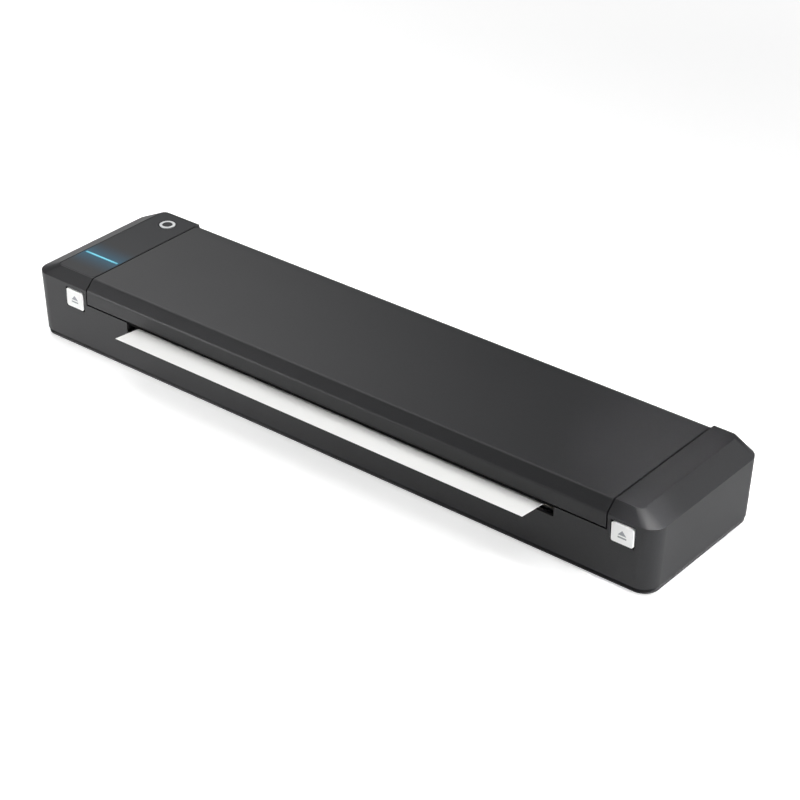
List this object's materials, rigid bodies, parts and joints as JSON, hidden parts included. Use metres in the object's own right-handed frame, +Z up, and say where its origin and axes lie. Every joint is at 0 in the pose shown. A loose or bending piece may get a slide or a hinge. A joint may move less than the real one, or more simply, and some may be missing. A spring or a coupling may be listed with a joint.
{
  "type": "portable thermal printer",
  "caption": "Long low black thermal printer with a hinged cover, bevelled front, paper slot, white release buttons, light bar and power ring.",
  "frame": {"origin": "on the table under the middle of the case", "axes": "+X along the case to the right as seen from the front, +Y from the front face to the rear, +Z up"},
  "size_m": [0.321, 0.0831, 0.0345],
  "materials": {
    "case_abs": "fine spark-eroded texture, black",
    "cover_abs": "fine spark-eroded texture, black",
    "panel_abs": "satin black",
    "inner_abs": "moulded black",
    "foot_rubber": "matt",
    "platen_silicone": "ground rubber",
    "zinc_screw": "zinc plated",
    "steel_pin": "ground",
    "spring_steel": "cold rolled",
    "frame_steel": "galvanised sheet",
    "bush_acetal": "natural acetal",
    "gear_acetal": "natural acetal",
    "latch_acetal": "black acetal",
    "motor_steel": "plated can",
    "pinion_brass": "hobbed",
    "thermal_paper": "coated white",
    "core_board": "wound board",
    "head_ceramic": "glazed alumina",
    "carrier_aluminium": "extruded",
    "light_acrylic": "lit light guide",
    "ring_white": "translucent white",
    "circuit_board": "solder mask",
    "component_black": "moulded epoxy",
    "led_white": "LED package",
    "battery_wrap": "shrink sleeve",
    "usb_steel": "nickel plated",
    "button_white": "satin white"
  },
  "bodies": {
    "base": {"main_housing": "case_abs", "bottom_cover": "case_abs", "rubber_feet": "foot_rubber", "case_screws": "zinc_screw", "hinge_pins": "steel_pin", "gear_studs": "steel_pin", "motor": "motor_steel", "paper_web": "thermal_paper", "roll_tray": "inner_abs", "mechanism_frame": "frame_steel", "paper_guide_bar": "steel_pin", "head_pivot_rod": "steel_pin", "head_springs": "spring_steel", "control_panel": "panel_abs", "light_bar": "light_acrylic", "control_board": "circuit_board", "power_switch": "component_black", "status_leds": "led_white", "battery_pack": "battery_wrap", "main_board": "circuit_board", "board_parts": "component_black", "usb_socket": "usb_steel", "paper_sensor": "component_black", "latch_spring_left": "spring_steel", "latch_spring_right": "spring_steel"},
    "cover": {"top_cover": "cover_abs", "cover_liner": "inner_abs", "platen_bushes": "bush_acetal", "tear_bar": "spring_steel"},
    "platen": {"platen_shaft": "steel_pin", "platen_rubber": "platen_silicone", "platen_gear": "gear_acetal"},
    "idler": {"idler_gear": "gear_acetal"},
    "reduction": {"reduction_gear": "gear_acetal"},
    "rotor": {"motor_pinion": "pinion_brass"},
    "roll": {"paper_roll": "thermal_paper", "roll_core": "core_board"},
    "head": {"print_head": "head_ceramic", "head_carrier": "carrier_aluminium"},
    "release_left": {"release_button_left": "button_white", "latch_hook_left": "latch_acetal"},
    "release_right": {"release_button_right": "button_white", "latch_hook_right": "latch_acetal"},
    "power": {"power_button": "panel_abs", "power_ring": "ring_white"}
  },
  "joints": [
    {"name": "cover_hinge", "type": "hinge", "parent": "base", "child": "cover", "pos_m": [0.005, 0.031, 0.0299], "axis": [-1, 0, 0], "range_deg": [0, 95]},
    {"name": "platen_spin", "type": "hinge", "parent": "cover", "child": "platen", "pos_m": [0.005, -0.026, 0.02564], "axis": [1, 0, 0], "continuous": true},
    {"name": "idler_spin", "type": "hinge", "parent": "base", "child": "idler", "pos_m": [-0.114, -0.02518, 0.01467], "axis": [1, 0, 0], "continuous": true},
    {"name": "reduction_spin", "type": "hinge", "parent": "base", "child": "reduction", "pos_m": [-0.116, -0.01522, 0.01375], "axis": [1, 0, 0], "continuous": true},
    {"name": "motor_spin", "type": "hinge", "parent": "base", "child": "rotor", "pos_m": [-0.12, -0.00475, 0.0145], "axis": [1, 0, 0], "continuous": true},
    {"name": "roll_spin", "type": "hinge", "parent": "base", "child": "roll", "pos_m": [0.005, 0, 0.017], "axis": [1, 0, 0], "continuous": true},
    {"name": "head_rock", "type": "hinge", "parent": "base", "child": "head", "pos_m": [0.005, -0.02215, 0.01519], "axis": [1, 0, 0], "range_deg": [0, 1.5], "stiffness_Nm_per_rad": 1, "springref_deg": -1.15, "deforming": ["head_springs"]},
    {"name": "release_left_push", "type": "slide", "parent": "base", "child": "release_left", "axis": [0, 1, 0], "range_m": [0, 0.0015], "stiffness_N_per_m": 600, "springref_m": -0.0005, "deforming": ["latch_spring_left"]},
    {"name": "release_right_push", "type": "slide", "parent": "base", "child": "release_right", "axis": [0, 1, 0], "range_m": [0, 0.0015], "stiffness_N_per_m": 600, "springref_m": -0.0005, "deforming": ["latch_spring_right"]},
    {"name": "power_press", "type": "slide", "parent": "base", "child": "power", "axis": [0, 0, -1], "range_m": [0, 0.0005], "stiffness_N_per_m": 800, "springref_m": -0.0003}
  ],
  "couplings": [
    {"joint": "idler_spin", "follows": "platen_spin", "ratio": -0.69231},
    {"joint": "reduction_spin", "follows": "platen_spin", "ratio": 1.2857},
    {"joint": "motor_spin", "follows": "platen_spin", "ratio": -3.2143},
    {"joint": "roll_spin", "follows": "platen_spin", "ratio": 0.36}
  ]
}
